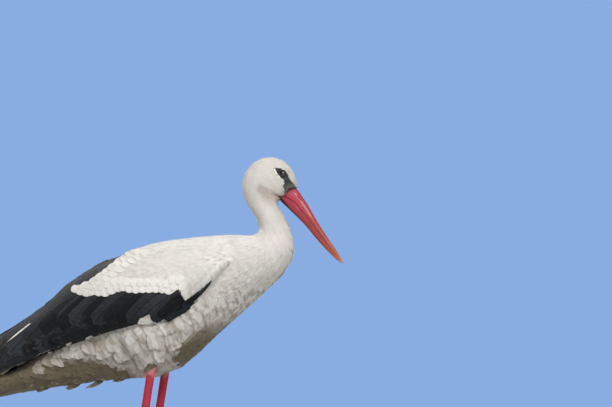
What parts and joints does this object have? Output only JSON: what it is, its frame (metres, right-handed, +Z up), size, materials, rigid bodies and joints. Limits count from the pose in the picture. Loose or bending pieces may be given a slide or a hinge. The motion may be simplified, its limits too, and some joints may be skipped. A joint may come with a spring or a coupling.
{
  "type": "white stork",
  "caption": "Life-size standing white stork with folded black-edged wings, long red bill and long red legs, as a still museum-type model.",
  "frame": {"origin": "on the floor under the middle of the bird's bounding box", "axes": "+X the way the bird faces, +Y to its left, +Z up"},
  "size_m": [0.7468, 0.2022, 0.7439],
  "materials": {
    "white_feather": "matte",
    "flight_feather": "satin",
    "leg_skin": "satin",
    "bill": "satin",
    "eye": "gloss",
    "claw": "satin"
  },
  "bodies": {
    "root": {"bill_lower": "bill", "bill_upper": "bill", "claw_hind_left": "claw", "claw_hind_right": "claw", "claw_inner_left": "claw", "claw_inner_right": "claw", "claw_middle_left": "claw", "claw_middle_right": "claw", "claw_outer_left": "claw", "claw_outer_right": "claw", "eye_left": "eye", "eye_right": "eye", "foot_left": "leg_skin", "foot_right": "leg_skin", "head": "white_feather", "neck_lower": "white_feather", "neck_upper": "white_feather", "shank_left": "leg_skin", "shank_right": "leg_skin", "tail": "white_feather", "tarsus_left": "leg_skin", "tarsus_right": "leg_skin", "thigh_left": "white_feather", "thigh_right": "white_feather", "toe_hind_left": "leg_skin", "toe_hind_right": "leg_skin", "toe_inner_left": "leg_skin", "toe_inner_right": "leg_skin", "toe_middle_left": "leg_skin", "toe_middle_right": "leg_skin", "toe_outer_left": "leg_skin", "toe_outer_right": "leg_skin", "trunk": "white_feather", "wing_alula_left": "flight_feather", "wing_alula_right": "flight_feather", "wing_coverts_left": "white_feather", "wing_coverts_right": "white_feather", "wing_primaries_left": "flight_feather", "wing_primaries_right": "flight_feather", "wing_secondaries_left": "flight_feather", "wing_secondaries_right": "flight_feather", "wing_tertials_left": "flight_feather", "wing_tertials_right": "flight_feather"}
  },
  "joints": []
}
